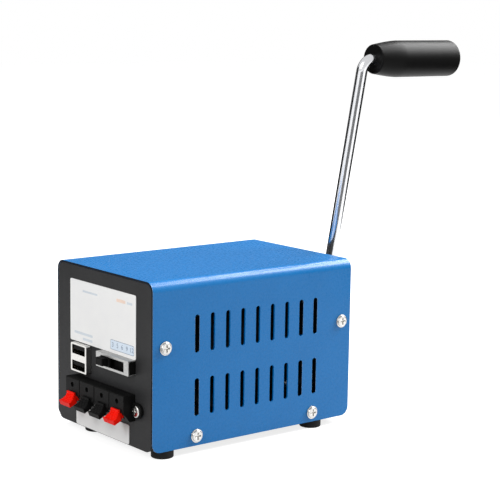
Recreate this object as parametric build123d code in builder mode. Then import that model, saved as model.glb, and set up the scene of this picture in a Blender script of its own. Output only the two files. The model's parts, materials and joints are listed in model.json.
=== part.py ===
from build123d import *
import os
from math import acos, cos, degrees, pi, radians, sin, tan

# Hand crank generator, in millimetres. The front panel faces -Y and the crank is behind, at +Y.
# +X is to the right of the front panel, and Z is up from the table under the middle of the case.

# Case
case_width = 86.0
case_length = 127.0
case_height = 84.0
foot_height = 4.0
cover_sheet = 1.0
cover_bend = 5.0
cover_corner = 4.75
chassis_sheet = 1.2
panel_corner = 4.2
cover_gap = 0.1
corner_relief = 0.5
panel_flange_depth = 14.0
base_flange_height = 14.0
flange_gap = 1.0
panel_cutout_gap = 0.15

# Vent slots in both sides of the cover
slot_width = 2.7
slot_height = 19.1
slot_pitch = 9.51
slot_count = 9
slot_middle_y = 1.05
slot_upper_z = 56.45
slot_lower_z = 24.55

# Screws
cover_screw_radius = 2.0
cover_screw_head_radius = 3.45
cover_screw_flange = 0.6
cover_screw_head_height = 1.5
cover_screw_length = 3.6
front_screw_inset = 7.4
rear_screw_inset = 6.3
panel_screw_z = 51.6
base_screw_z = 5.1
base_screw_front_y = -37.0
base_screw_rear_y = 38.0
small_screw_radius = 1.5
small_screw_head_radius = 3.0
small_screw_head_height = 1.4
screw_clearance = 0.2
screw_crown_share = 0.84
screw_rounding_share = 0.35
screw_cross_length_share = 1.05
screw_cross_width_share = 0.22
screw_cross_depth_share = 0.6

# Rubber feet
foot_radius = 5.65
foot_edge = 0.6
foot_right_x = 37.3
foot_left_x = -22.0
foot_front_y = -53.5
foot_rear_y = 42.0
foot_recess_depth = 2.4
foot_screw_end = 1.0

# Blank labels on the front panel
label_thickness = 0.2
label_corner = 1.0
upper_label_width = 59.3
upper_label_height = 32.0
upper_label_x = -0.65
upper_label_bottom = 43.9
lower_label_width = 48.3
lower_label_height = 9.9
lower_label_x = -0.75
lower_label_bottom = 0.3

# Double charging port
port_block_width = 14.5
port_block_height = 14.6
port_block_x = -18.35
port_block_z = 36.35
port_block_proud = 3.0
port_block_corner = 0.8
port_width = 12.0
port_height = 4.7
port_corner = 0.5
port_pitch = 8.2
port_depth = 12.5
tongue_width = 10.6
tongue_thickness = 1.9
tongue_top_gap = 0.45
tongue_setback = 0.4
port_contact_count = 4
port_contact_pitch = 2.4
port_contact_width = 1.1
port_contact_thickness = 0.25
port_contact_setback = 1.0

# Voltage selector: a slide switch in a steel frame
selector_width = 28.7
selector_height = 7.5
selector_x = 14.25
selector_z = 40.1
selector_proud = 4.3
selector_sheet = 0.6
selector_end_gap = 0.1
selector_depth = 12.0
selector_slot_width = 20.4
selector_slot_height = 5.0
channel_depth = 3.4
channel_margin = 0.25
knob_width = 5.8
knob_height = 3.8
knob_proud = 3.2
knob_gap = 0.15
knob_foot_lip = 0.8
knob_foot_thickness = 1.2
knob_edge = 0.5
selector_pin_count = 7
selector_pin_pitch = 3.6
selector_pin_width = 0.8
selector_pin_thickness = 0.5
pin_end = 1.2

# Wire terminal with four sprung levers
terminal_x = 2.3
terminal_count = 4
terminal_pitch = 13.5
terminal_end_wall = 5.95
terminal_top_z = 26.8
terminal_face_bottom_z = 18.2
terminal_bottom_z = 13.4
terminal_proud = 7.0
terminal_skirt_proud = 3.4
terminal_step = 1.2
terminal_depth = 8.2
terminal_groove_width = 0.6
terminal_groove_depth = 0.5
terminal_edge = 0.4
ear_thickness = 1.5
ear_radius = 3.6
ear_screw_x = 29.9
ear_screw_z = 19.4
ear_screw_length = 6.0
wire_hole_radius = 1.3
wire_hole_z = 23.3
lever_width = 7.0
lever_lip_width = 9.4
lever_gap = 0.3
lever_pivot_proud = 3.45
lever_pivot_z = 17.4
lever_hub_radius = 1.9
lever_pin_radius = 1.2
lever_pin_length = 1.0
lever_nose_proud = 8.1
lever_nose_z = 19.6
lever_lip_proud = 12.0
lever_lip_z = 15.0
lever_lip_thickness = 2.5
lever_lip_lean = 20.6
lever_hollow_proud = 9.35
lever_hollow_z = 16.7
lever_heel_proud = 5.0
lever_heel_z = 15.7
lever_rib_count = 5
lever_rib_radius = 0.3
pocket_wall = 1.0
pocket_floor_z = 14.7
pocket_roof_z = 20.6
pocket_depth = 1.2
clip_thickness = 0.6
clip_width = 6.0
clip_top_z = 24.8
clip_bottom_z = 15.1
clip_leaf_reach = 3.4
tag_z = 15.8
tag_width = 3.0
tag_length = 5.0

# Circuit board behind the front panel
board_width = 72.0
board_bottom_z = 30.6
board_top_z = 79.0
board_corner = 2.0
board_thickness = 1.6
board_to_panel = 13.8
standoff_radius = 2.75
standoff_inset = 4.0
board_screw_length = 6.0
capacitor_radius = 5.0
capacitor_length = 16.0
capacitor_x = -17.0
capacitor_pitch = 12.0
component_z = 66.0
inductor_x = 8.0
inductor_radius = 8.0
inductor_hole_radius = 4.0
inductor_height = 7.0
rectifier_x = 27.0
rectifier_size = 12.0
rectifier_thickness = 5.0
heat_sink_x = -23.0
heat_sink_z = 48.0
heat_sink_width = 14.0
heat_sink_height = 16.0
heat_sink_depth = 13.0
heat_sink_base = 2.5
heat_sink_fin = 1.2
heat_sink_fin_count = 4
regulator_width = 10.0
regulator_height = 14.0
regulator_thickness = 4.4

# Crank and grip
crank_axis_z = 42.0
crank_tilt = 11.7
crank_radius = 148.7
crank_shaft_radius = 4.0
rod_behind_case = 17.0
rod_radius = 3.0
rod_bend = 6.5
rod_seat_depth = 6.0
rod_to_shaft = 1.0
hub_radius = 9.0
hub_length = 17.0
hub_edge = 0.8
grub_radius = 2.0
grub_inset = 0.3
grub_socket_radius = 1.1
grub_socket_depth = 2.0
grip_radius = 9.8
grip_neck_radius = 7.9
grip_neck_length = 17.0
grip_neck_flare = 0.7
grip_length = 57.5
grip_end_corner = 2.4
grip_edge = 0.5
grip_start_gap = 0.4
grip_running_gap = 0.08
grip_cap_radius = 5.5
grip_cap_thickness = 4.0
grip_screw_radius = 2.0
grip_screw_head_radius = 4.4
grip_screw_head_height = 2.4
grip_screw_length = 9.0
grip_end_room = 14.0
grip_end_float = 0.3

# Gear train: two equal stages that lead back onto the crank's own axis
gear_module = 0.8
wheel_teeth = 48
pinion_teeth = 12
pressure_angle = 25.0
tooth_addendum = 0.9
tooth_dedendum = 1.2
tooth_backlash = 0.16
layshaft_angle = 45.0
layshaft_radius = 2.0
wheel_thickness = 5.0
wheel_web = 2.2
wheel_rim = 2.6
wheel_hub_radius = 7.5
wheel_hole_count = 5
wheel_hole_radius = 2.6
wheel_to_plate = 2.0
wheel_to_wheel = 3.0
pinion_overlap = 0.5
gear_plate = 2.0
gear_space = 20.0
gear_plate_side = 65.0
gear_plate_x = 6.0
gear_plate_z = 48.5
pillar_radius = 3.0
pillar_inset = 4.5
gear_screw_length = 7.0
bracket_foot_length = 26.0
bracket_foot_width = 56.0
bracket_screw_inset = 6.0
bracket_screw_length = 3.2
bush_wall = 2.0
bush_flange = 1.2
bush_flange_lip = 1.5
running_gap = 0.05
end_float = 0.3
clip_ring_width = 1.0
clip_ring_radius = 6.5
clip_groove_depth = 0.6

# Generator
can_radius = 21.0
can_wall = 1.5
can_length = 46.0
boss_radius = 8.5
boss_length = 4.0
boss_lip = 0.5
boss_hole_radius = 4.0
motor_screw_spread = 29.0
magnet_thickness = 3.0
magnet_angle = 130.0
magnet_overhang = 2.0
rotor_gap = 0.6
rotor_to_end = 7.0
pole_count = 5
slot_mouth = 1.6
pole_slot_width = 5.6
pole_slot_start = 7.0
pole_slot_end = 13.4
winding_gap = 0.2
end_turn_length = 3.0
motor_shaft_radius = 2.5
bearing_radius = 6.5
bearing_length = 4.0
end_cap_thickness = 4.0
commutator_radius = 6.0
commutator_length = 9.0
commutator_gap = 0.6
commutator_to_cap = 0.9
brush_width = 4.0
brush_height = 5.0
brush_length = 8.0
brush_gap = 0.1
holder_wall = 1.0
holder_fit = 0.05
motor_tag_length = 6.0
motor_tag_width = 4.8
motor_tag_thickness = 0.8

# Places worked out from the sizes above
base_z = foot_height
floor_z = base_z + chassis_sheet
top_z = base_z + case_height
half_width = case_width / 2
front_y = -case_length / 2
rear_y = case_length / 2
panel_half_width = half_width - cover_sheet - cover_gap
panel_top_z = top_z - cover_sheet - cover_gap
panel_back_y = front_y + chassis_sheet
rear_panel_y = rear_y - chassis_sheet

port_centre = (port_block_x, base_z + port_block_z)
port_face_y = front_y - port_block_proud
selector_centre = (selector_x, base_z + selector_z)
selector_face_y = front_y - selector_proud
selector_body_y = selector_face_y + selector_sheet
selector_back_y = selector_body_y + selector_depth
knob_x = selector_x - selector_slot_width / 2 + knob_gap + knob_width / 2

terminal_places = [
    terminal_x + (number - (terminal_count - 1) / 2) * terminal_pitch
    for number in range(terminal_count)
]
terminal_half_width = (terminal_count - 1) / 2 * terminal_pitch + terminal_end_wall
wire_hole_depth = terminal_proud + pocket_depth - clip_thickness

board_front_y = panel_back_y + board_to_panel
board_back_y = board_front_y + board_thickness
heat_sink_rear_y = board_back_y + regulator_thickness + heat_sink_depth

crank_z = base_z + crank_axis_z
rod_y = rear_y + rod_behind_case
grip_start_y = rod_y + rod_bend + grip_start_gap
rod_end_y = grip_start_y + grip_length - grip_end_room + grip_end_float

centre_distance = gear_module * (wheel_teeth + pinion_teeth) / 2
wheel_root_radius = gear_module * (wheel_teeth / 2 - tooth_dedendum)
drive_length = end_cap_thickness + can_length + gear_space + 2 * gear_plate
drive_clearance = (rear_panel_y - heat_sink_rear_y - drive_length) / 2
gear_rear_y = rear_panel_y - drive_clearance
gear_inner_rear_y = gear_rear_y - gear_plate
gear_inner_front_y = gear_inner_rear_y - gear_space
gear_front_y = gear_inner_front_y - gear_plate
bush_face_y = gear_inner_rear_y - bush_flange
crank_wheel_y = gear_inner_rear_y - wheel_to_plate
lay_wheel_y = crank_wheel_y - wheel_thickness - wheel_to_wheel

magnet_radius = can_radius - can_wall - magnet_thickness
rotor_radius = magnet_radius - rotor_gap
can_end_y = gear_front_y - can_length
end_cap_y = can_end_y - end_cap_thickness
rotor_rear_y = gear_front_y - can_wall - rotor_to_end
commutator_y = can_end_y + commutator_to_cap + commutator_length
rotor_front_y = commutator_y + commutator_gap + end_turn_length
rotor_length = rotor_rear_y - rotor_front_y
brush_y = commutator_y - commutator_length / 2


def facing_front(y):
    """Upright plane at the depth y, seen from the front: local x is X and local y is Z."""
    return Plane.XZ.offset(-y)


def facing_right(x):
    """Upright plane at x, seen from the right: local x is Y and local y is Z."""
    return Plane.YZ.offset(x)


def polar(radius, angle):
    return (radius * cos(radians(angle)), radius * sin(radians(angle)))


crank_place = (0, crank_z)
layshaft_place = (
    polar(centre_distance, layshaft_angle)[0],
    crank_z + polar(centre_distance, layshaft_angle)[1],
)
along_rod = Vector(sin(radians(crank_tilt)), 0, cos(radians(crank_tilt)))
across_rod = Vector(cos(radians(crank_tilt)), 0, -sin(radians(crank_tilt)))
hub_centre = Vector(0, rod_y, crank_z)
grip_centre = hub_centre + along_rod * crank_radius


def arch(width, bottom, top, corner):
    """Flat-bottomed outline with two round upper corners."""
    with BuildSketch() as outline:
        with Locations((0, bottom)):
            Rectangle(width, top - bottom, align=(Align.CENTER, Align.MIN))
        fillet(outline.vertices().group_by(Axis.Y)[-1], corner)
    return outline.sketch


def pan_screw(shank_radius, length, head_radius, head_height, flange_height=0.0):
    """Cross-head screw: its head stands on the XY plane and its shank runs down from there."""
    dome_radius = head_radius * screw_crown_share if flange_height else head_radius
    cross_length = head_radius * screw_cross_length_share
    cross_width = head_radius * screw_cross_width_share
    with BuildPart() as screw:
        if flange_height:
            with BuildSketch():
                Circle(head_radius)
            extrude(amount=flange_height)
        with BuildSketch():
            Circle(dome_radius)
        extrude(amount=head_height)
        fillet(screw.edges().group_by(Axis.Z)[-1], head_height * screw_rounding_share)
        with BuildSketch():
            Circle(shank_radius)
        extrude(amount=-length)
        with BuildSketch(Plane.XY.offset(head_height)):
            Rectangle(cross_length, cross_width)
            Rectangle(cross_width, cross_length)
        extrude(amount=-head_height * screw_cross_depth_share, mode=Mode.SUBTRACT)
    return screw.part


def small_screw(length):
    return pan_screw(small_screw_radius, length, small_screw_head_radius, small_screw_head_height)


def flanged_bush(bore_radius, body_radius, body_length, flange_length):
    """Plain bearing: its flange stands on the XY plane and its body runs down from there."""
    with BuildPart() as bush:
        with BuildSketch():
            Circle(body_radius + bush_flange_lip)
        extrude(amount=flange_length)
        with BuildSketch():
            Circle(body_radius)
        extrude(amount=-body_length)
        with BuildSketch(Plane.XY.offset(-body_length)):
            Circle(bore_radius)
        extrude(amount=body_length + flange_length, mode=Mode.SUBTRACT)
    return bush.part


def gear_outline(teeth, tooth_at):
    """Spur gear outline with a tooth at the angle tooth_at. Each flank is an arc on its involute."""
    pitch_radius = gear_module * teeth / 2
    base_radius = pitch_radius * cos(radians(pressure_angle))
    tip_radius = pitch_radius + gear_module * tooth_addendum
    root_radius = pitch_radius - gear_module * tooth_dedendum
    flank_start = max(base_radius, root_radius)
    flank_middle = (flank_start + tip_radius) / 2

    def involute(radius):
        angle = acos(min(1.0, base_radius / radius))
        return tan(angle) - angle

    def corner(radius, middle, side):
        at_pitch = pi / (2 * teeth) - tooth_backlash / (4 * pitch_radius)
        on_flank = max(radius, flank_start)
        half_tooth = at_pitch + involute(pitch_radius) - involute(on_flank)
        return polar(radius, middle + side * degrees(half_tooth))

    with BuildSketch() as outline:
        with BuildLine():
            for tooth in range(teeth):
                middle = tooth_at + 360 * tooth / teeth
                following = middle + 360 / teeth
                for side in (-1, 1):
                    foot = corner(flank_start, middle, side)
                    halfway = corner(flank_middle, middle, side)
                    ThreePointArc(foot, halfway, corner(tip_radius, middle, side))
                    if root_radius < base_radius:
                        Line(corner(root_radius, middle, side), foot)
                tip_start = corner(tip_radius, middle, -1)
                tip_end = corner(tip_radius, middle, 1)
                ThreePointArc(tip_start, polar(tip_radius, middle), tip_end)
                root_start = corner(root_radius, middle, 1)
                root_end = corner(root_radius, following, -1)
                ThreePointArc(root_start, polar(root_radius, middle + 180 / teeth), root_end)
        make_face()
    return outline.sketch


def gear_wheel(place, rear_y_of_wheel, tooth_at, bore_radius, hub_front_y, hub_rear_y):
    """Toothed wheel with a thinner, drilled web and a hub that reaches from hub_front_y to hub_rear_y."""
    recess = (wheel_thickness - wheel_web) / 2
    rim_radius = wheel_root_radius - wheel_rim
    with BuildPart() as wheel:
        with BuildSketch(facing_front(rear_y_of_wheel)):
            with Locations(place):
                add(gear_outline(wheel_teeth, tooth_at))
        extrude(amount=wheel_thickness)
        for face_y, depth in ((rear_y_of_wheel, recess), (rear_y_of_wheel - wheel_thickness, -recess)):
            with BuildSketch(facing_front(face_y)):
                with Locations(place):
                    Circle(rim_radius)
                    Circle(wheel_hub_radius, mode=Mode.SUBTRACT)
            extrude(amount=depth, mode=Mode.SUBTRACT)
        with BuildSketch(facing_front(rear_y_of_wheel)):
            with Locations(place):
                with PolarLocations((rim_radius + wheel_hub_radius) / 2, wheel_hole_count):
                    Circle(wheel_hole_radius)
        extrude(amount=wheel_thickness, mode=Mode.SUBTRACT)
        with BuildSketch(facing_front(hub_rear_y)):
            with Locations(place):
                Circle(wheel_hub_radius)
        extrude(amount=hub_rear_y - hub_front_y)
        with BuildSketch(facing_front(hub_rear_y)):
            with Locations(place):
                Circle(bore_radius)
        extrude(amount=hub_rear_y - hub_front_y, mode=Mode.SUBTRACT)
    return wheel.part


os.makedirs("parts", exist_ok=True)

# ------------------------------------------------------------------ cover and chassis

side_screw_places = [
    (front_y + front_screw_inset, base_z + panel_screw_z),
    (rear_y - rear_screw_inset, base_z + panel_screw_z),
    (base_screw_front_y, base_z + base_screw_z),
    (base_screw_rear_y, base_z + base_screw_z),
]
foot_places = [(x, y) for x in (foot_left_x, foot_right_x) for y in (foot_front_y, foot_rear_y)]
ear_screw_places = [(terminal_x + side * ear_screw_x, base_z + ear_screw_z) for side in (-1, 1)]
bracket_screw_places = [
    (gear_plate_x + side * (bracket_foot_width / 2 - bracket_screw_inset), y)
    for side in (-1, 1)
    for y in (
        gear_inner_front_y - bracket_foot_length + bracket_screw_inset,
        gear_front_y - bracket_screw_inset,
    )
]
terminal_body_half_width = terminal_half_width - terminal_step
terminal_body_bottom = base_z + terminal_bottom_z + terminal_step
terminal_body_top = base_z + terminal_top_z - terminal_step

with BuildPart() as cover:
    with BuildSketch(facing_front(rear_y)):
        add(arch(case_width, base_z, top_z, cover_bend))
        inner_width = case_width - 2 * cover_sheet
        add(
            arch(inner_width, base_z, top_z - cover_sheet, cover_bend - cover_sheet),
            mode=Mode.SUBTRACT,
        )
    extrude(amount=case_length)
    fillet(cover.edges().filter_by(Axis.X).group_by(Axis.Z)[0], cover_corner)
    with BuildSketch(Plane.YZ):
        for slot_z in (slot_lower_z, slot_upper_z):
            with Locations((slot_middle_y, base_z + slot_z)):
                with GridLocations(slot_pitch, 1, slot_count, 1):
                    SlotOverall(slot_height, slot_width, rotation=90)
        with Locations(*side_screw_places):
            Circle(cover_screw_radius + screw_clearance)
    extrude(amount=half_width, both=True, mode=Mode.SUBTRACT)
cover.part.label = "cover"
export_step(cover.part, "parts/cover.step")

with BuildPart() as chassis:
    for panel_y in (panel_back_y, rear_y):
        with BuildSketch(facing_front(panel_y)):
            with Locations((0, (base_z + panel_top_z) / 2)):
                RectangleRounded(2 * panel_half_width, panel_top_z - base_z, panel_corner)
        extrude(amount=chassis_sheet)
    with BuildSketch(Plane.XY.offset(base_z)):
        Rectangle(2 * (panel_half_width - panel_corner), case_length)
        Rectangle(2 * panel_half_width, case_length - 2 * (panel_corner + corner_relief))
    extrude(amount=chassis_sheet)
    for side in (-1, 1):
        with BuildSketch(facing_right(side * panel_half_width)):
            flange_length = case_length - 2 * (panel_corner + corner_relief)
            with Locations((0, base_z)):
                Rectangle(flange_length, base_flange_height, align=(Align.CENTER, Align.MIN))
            panel_flange_bottom = base_z + base_flange_height + flange_gap
            panel_flange_height = panel_top_z - panel_corner - panel_flange_bottom
            for end_y, alignment in ((front_y, Align.MIN), (rear_y, Align.MAX)):
                with Locations((end_y, panel_flange_bottom)):
                    Rectangle(panel_flange_depth, panel_flange_height, align=(alignment, Align.MIN))
        extrude(amount=-side * chassis_sheet)
    # tapped holes for the cover's screws, and the feet's and the gearbox's screws in the base
    with BuildSketch(Plane.YZ):
        with Locations(*side_screw_places):
            Circle(cover_screw_radius)
    extrude(amount=half_width, both=True, mode=Mode.SUBTRACT)
    with BuildSketch(Plane.XY.offset(base_z)):
        with Locations(*foot_places):
            Circle(small_screw_radius)
        with Locations(*bracket_screw_places):
            Circle(small_screw_radius + screw_clearance)
    extrude(amount=chassis_sheet, mode=Mode.SUBTRACT)
    # windows in the front panel, and the crank bush's hole in the rear panel
    with BuildSketch(facing_front(panel_back_y)):
        with Locations(port_centre):
            Rectangle(port_block_width + 2 * panel_cutout_gap, port_block_height + 2 * panel_cutout_gap)
        with Locations(selector_centre):
            Rectangle(selector_width + 2 * panel_cutout_gap, selector_height + 2 * panel_cutout_gap)
        with Locations((terminal_x, (terminal_body_bottom + terminal_body_top) / 2)):
            window_height = terminal_body_top - terminal_body_bottom + 2 * panel_cutout_gap
            Rectangle(2 * (terminal_body_half_width + panel_cutout_gap), window_height)
        with Locations(*ear_screw_places):
            Circle(small_screw_radius)
    extrude(amount=chassis_sheet, mode=Mode.SUBTRACT)
    with BuildSketch(facing_front(rear_y)):
        with Locations(crank_place):
            Circle(crank_shaft_radius + bush_wall)
    extrude(amount=chassis_sheet, mode=Mode.SUBTRACT)
chassis.part.label = "chassis"
export_step(chassis.part, "parts/chassis.step")

cover_screw = pan_screw(
    cover_screw_radius,
    cover_screw_length,
    cover_screw_head_radius,
    cover_screw_head_height,
    cover_screw_flange,
)
with BuildPart() as cover_screws:
    for side in (-1, 1):
        with Locations(
            *[Plane((side * half_width, y, z), z_dir=(side, 0, 0)) for y, z in side_screw_places]
        ):
            add(cover_screw)
cover_screws.part.label = "cover_screws"
export_step(cover_screws.part, "parts/cover_screws.step")

with BuildPart() as feet:
    with BuildSketch():
        with Locations(*foot_places):
            Circle(foot_radius)
    extrude(amount=foot_height)
    fillet(feet.edges().group_by(Axis.Z)[0], foot_edge)
    with BuildSketch():
        with Locations(*foot_places):
            Circle(small_screw_head_radius + screw_clearance)
    extrude(amount=foot_recess_depth, mode=Mode.SUBTRACT)
    with BuildSketch():
        with Locations(*foot_places):
            Circle(small_screw_radius)
    extrude(amount=foot_height, mode=Mode.SUBTRACT)
feet.part.label = "feet"
export_step(feet.part, "parts/feet.step")

foot_screw = small_screw(floor_z + foot_screw_end - foot_recess_depth)
with BuildPart() as foot_screws:
    with Locations(*[Plane((x, y, foot_recess_depth), z_dir=(0, 0, -1)) for x, y in foot_places]):
        add(foot_screw)
foot_screws.part.label = "foot_screws"
export_step(foot_screws.part, "parts/foot_screws.step")

with BuildPart() as upper_label:
    with BuildSketch(facing_front(front_y)):
        with Locations((upper_label_x, base_z + upper_label_bottom + upper_label_height / 2)):
            RectangleRounded(upper_label_width, upper_label_height, label_corner)
    extrude(amount=label_thickness)
upper_label.part.label = "upper_label"
export_step(upper_label.part, "parts/upper_label.step")

with BuildPart() as lower_label:
    with BuildSketch(facing_front(front_y)):
        with Locations((lower_label_x, base_z + lower_label_bottom + lower_label_height / 2)):
            RectangleRounded(lower_label_width, lower_label_height, label_corner)
    extrude(amount=label_thickness)
lower_label.part.label = "lower_label"
export_step(lower_label.part, "parts/lower_label.step")

# ------------------------------------------------------------------ charging port

port_block_length = board_front_y - port_face_y
port_rows = [(port_centre[0], port_centre[1] + side * port_pitch / 2) for side in (-1, 1)]
tongue_centre_rise = port_height / 2 - tongue_top_gap - tongue_thickness / 2
contact_rise = tongue_centre_rise - tongue_thickness / 2 - port_contact_thickness / 2

with BuildPart() as port_shell:
    with BuildSketch(facing_front(board_front_y)):
        with Locations(port_centre):
            RectangleRounded(port_block_width, port_block_height, port_block_corner)
        with Locations(*port_rows):
            RectangleRounded(port_width, port_height, port_corner, mode=Mode.SUBTRACT)
    extrude(amount=port_block_length)
port_shell.part.label = "port_shell"
export_step(port_shell.part, "parts/port_shell.step")

with BuildPart() as port_inserts:
    with BuildSketch(facing_front(board_front_y)):
        with Locations(*port_rows):
            RectangleRounded(port_width, port_height, port_corner)
    extrude(amount=port_block_length - port_depth)
    with BuildSketch(facing_front(port_face_y + port_depth)):
        with Locations(*[(x, z + tongue_centre_rise) for x, z in port_rows]):
            Rectangle(tongue_width, tongue_thickness)
    extrude(amount=port_depth - tongue_setback)
port_inserts.part.label = "port_inserts"
export_step(port_inserts.part, "parts/port_inserts.step")

with BuildPart() as port_contacts:
    with BuildSketch(facing_front(port_face_y + port_depth)):
        for x, z in port_rows:
            with Locations((x, z + contact_rise)):
                with GridLocations(port_contact_pitch, 1, port_contact_count, 1):
                    Rectangle(port_contact_width, port_contact_thickness)
    extrude(amount=port_depth - tongue_setback - port_contact_setback)
port_contacts.part.label = "port_contacts"
export_step(port_contacts.part, "parts/port_contacts.step")

# ------------------------------------------------------------------ voltage selector

selector_inner_height = selector_height - 2 * selector_sheet
channel_width = selector_slot_width + 2 * knob_foot_lip + 2 * channel_margin
channel_height = selector_slot_height + 2 * channel_margin
selector_pin_places = [
    (selector_x + (number - (selector_pin_count - 1) / 2) * selector_pin_pitch, selector_centre[1])
    for number in range(selector_pin_count)
]

with BuildPart() as selector_frame:
    with BuildSketch(facing_front(selector_back_y)):
        with Locations(selector_centre):
            Rectangle(selector_width, selector_height)
            Rectangle(selector_width, selector_inner_height, mode=Mode.SUBTRACT)
    extrude(amount=selector_depth)
    with BuildSketch(facing_front(selector_body_y)):
        with Locations(selector_centre):
            Rectangle(selector_width, selector_height)
            Rectangle(selector_slot_width, selector_slot_height, mode=Mode.SUBTRACT)
    extrude(amount=selector_sheet)
selector_frame.part.label = "selector_frame"
export_step(selector_frame.part, "parts/selector_frame.step")

with BuildPart() as selector_body:
    with BuildSketch(facing_front(selector_back_y)):
        with Locations(selector_centre):
            Rectangle(selector_width - 2 * selector_end_gap, selector_inner_height)
    extrude(amount=selector_depth)
    with BuildSketch(facing_front(selector_body_y)):
        with Locations(selector_centre):
            Rectangle(channel_width, channel_height)
    extrude(amount=-channel_depth, mode=Mode.SUBTRACT)
selector_body.part.label = "selector_body"
export_step(selector_body.part, "parts/selector_body.step")

with BuildPart() as selector_knob:
    foot_y = selector_body_y + knob_gap + knob_foot_thickness
    with BuildSketch(facing_front(foot_y)):
        with Locations((knob_x, selector_centre[1])):
            Rectangle(knob_width + 2 * knob_foot_lip, channel_height - 2 * knob_gap)
    extrude(amount=knob_foot_thickness)
    with BuildSketch(facing_front(foot_y)):
        with Locations((knob_x, selector_centre[1])):
            Rectangle(knob_width, knob_height)
    extrude(amount=foot_y - selector_face_y + knob_proud)
    fillet(selector_knob.faces().sort_by(Axis.Y)[0].edges(), knob_edge)
selector_knob.part.label = "selector_knob"
export_step(selector_knob.part, "parts/selector_knob.step")

with BuildPart() as selector_pins:
    with BuildSketch(facing_front(board_back_y + pin_end)):
        with Locations(*selector_pin_places):
            Rectangle(selector_pin_width, selector_pin_thickness)
    extrude(amount=board_back_y + pin_end - selector_back_y)
selector_pins.part.label = "selector_pins"
export_step(selector_pins.part, "parts/selector_pins.step")

# ------------------------------------------------------------------ wire terminal and its levers

clip_rear_y = front_y + pocket_depth
clip_front_y = clip_rear_y - clip_thickness
clip_slot_width = clip_width + 2 * screw_clearance
clip_leaf_z = base_z + lever_pivot_z + lever_hub_radius + lever_gap
window_width = lever_width + 2 * lever_gap
pin_reach = lever_width / 2 + lever_pin_length

with BuildPart() as terminal_housing:
    with BuildSketch(facing_right(terminal_x)):
        with BuildLine():
            Polyline(
                (front_y, base_z + terminal_bottom_z),
                (front_y - terminal_skirt_proud, base_z + terminal_bottom_z),
                (front_y - terminal_proud, base_z + terminal_face_bottom_z),
                (front_y - terminal_proud, base_z + terminal_top_z),
                (front_y, base_z + terminal_top_z),
                close=True,
            )
        make_face()
    extrude(amount=terminal_half_width, both=True)
    chamfer(terminal_housing.edges().filter_by(Axis.X).group_by(Axis.Z)[-1].sort_by(Axis.Y)[0], terminal_edge)
    with BuildSketch(facing_front(front_y + terminal_depth)):
        with Locations((terminal_x, (terminal_body_bottom + terminal_body_top) / 2)):
            Rectangle(2 * terminal_body_half_width, terminal_body_top - terminal_body_bottom)
    extrude(amount=terminal_depth)
    with BuildSketch(facing_front(front_y)):
        with Locations((terminal_x, base_z + ear_screw_z)):
            SlotCenterToCenter(2 * ear_screw_x, 2 * ear_radius)
    extrude(amount=ear_thickness)
    with BuildSketch(facing_front(front_y)):
        with Locations(*ear_screw_places):
            Circle(small_screw_radius + screw_clearance)
    extrude(amount=ear_thickness, mode=Mode.SUBTRACT)
    # grooves between the cells, and the wire holes
    with BuildSketch(facing_front(front_y - terminal_proud)):
        with GridLocations(terminal_pitch, 1, terminal_count - 1, 1):
            with Locations((terminal_x, base_z + terminal_top_z)):
                Rectangle(terminal_groove_width, 2 * (terminal_top_z - terminal_bottom_z))
    extrude(amount=-terminal_groove_depth, mode=Mode.SUBTRACT)
    with BuildSketch(facing_front(front_y - terminal_proud)):
        with Locations(*[(x, base_z + wire_hole_z) for x in terminal_places]):
            Circle(wire_hole_radius)
    extrude(amount=-wire_hole_depth, mode=Mode.SUBTRACT)
    # pockets for the levers, open to the front below the face, with bearings for their pins
    pocket_front_y = front_y - terminal_proud + pocket_wall
    outside_y = front_y - terminal_proud - pocket_wall
    for x in terminal_places:
        with BuildSketch(facing_right(x)):
            with Locations((pocket_front_y, base_z + pocket_floor_z)):
                Rectangle(
                    clip_rear_y - pocket_front_y,
                    pocket_roof_z - pocket_floor_z,
                    align=(Align.MIN, Align.MIN),
                )
            with Locations((outside_y, base_z + pocket_floor_z)):
                Rectangle(
                    pocket_front_y - outside_y,
                    terminal_face_bottom_z - pocket_floor_z,
                    align=(Align.MIN, Align.MIN),
                )
        extrude(amount=window_width / 2, both=True, mode=Mode.SUBTRACT)
        with BuildSketch(facing_right(x)):
            with Locations((front_y - lever_pivot_proud, base_z + lever_pivot_z)):
                Circle(lever_pin_radius + running_gap)
        extrude(amount=pin_reach + running_gap, both=True, mode=Mode.SUBTRACT)
    # a slot up from each pocket for the clip, and a slot back from it for the clip's tag
    with BuildSketch(facing_front(clip_rear_y)):
        with Locations(*[(x, base_z + pocket_floor_z) for x in terminal_places]):
            Rectangle(
                clip_slot_width,
                clip_top_z - pocket_floor_z + screw_clearance,
                align=(Align.CENTER, Align.MIN),
            )
    extrude(amount=clip_thickness, mode=Mode.SUBTRACT)
    with BuildSketch(facing_front(front_y + terminal_depth)):
        with Locations(*[(x, base_z + tag_z) for x in terminal_places]):
            Rectangle(tag_width, clip_thickness, align=(Align.CENTER, Align.MIN))
    extrude(amount=terminal_depth - pocket_depth, mode=Mode.SUBTRACT)
terminal_housing.part.label = "terminal_housing"
export_step(terminal_housing.part, "parts/terminal_housing.step")

with BuildPart() as terminal_clips:
    for x in terminal_places:
        with BuildSketch(facing_right(x)):
            with Locations((clip_front_y, base_z + clip_bottom_z)):
                Rectangle(clip_thickness, clip_top_z - clip_bottom_z, align=(Align.MIN, Align.MIN))
            with Locations((clip_front_y, clip_leaf_z)):
                Rectangle(clip_leaf_reach, clip_thickness, align=(Align.MAX, Align.MIN))
        extrude(amount=clip_width / 2, both=True)
        with BuildSketch(facing_front(clip_rear_y)):
            with Locations((x, base_z + tag_z)):
                Rectangle(tag_width, clip_thickness, align=(Align.CENTER, Align.MIN))
        extrude(amount=-(terminal_depth - pocket_depth + tag_length))
terminal_clips.part.label = "terminal_clips"
export_step(terminal_clips.part, "parts/terminal_clips.step")

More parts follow.
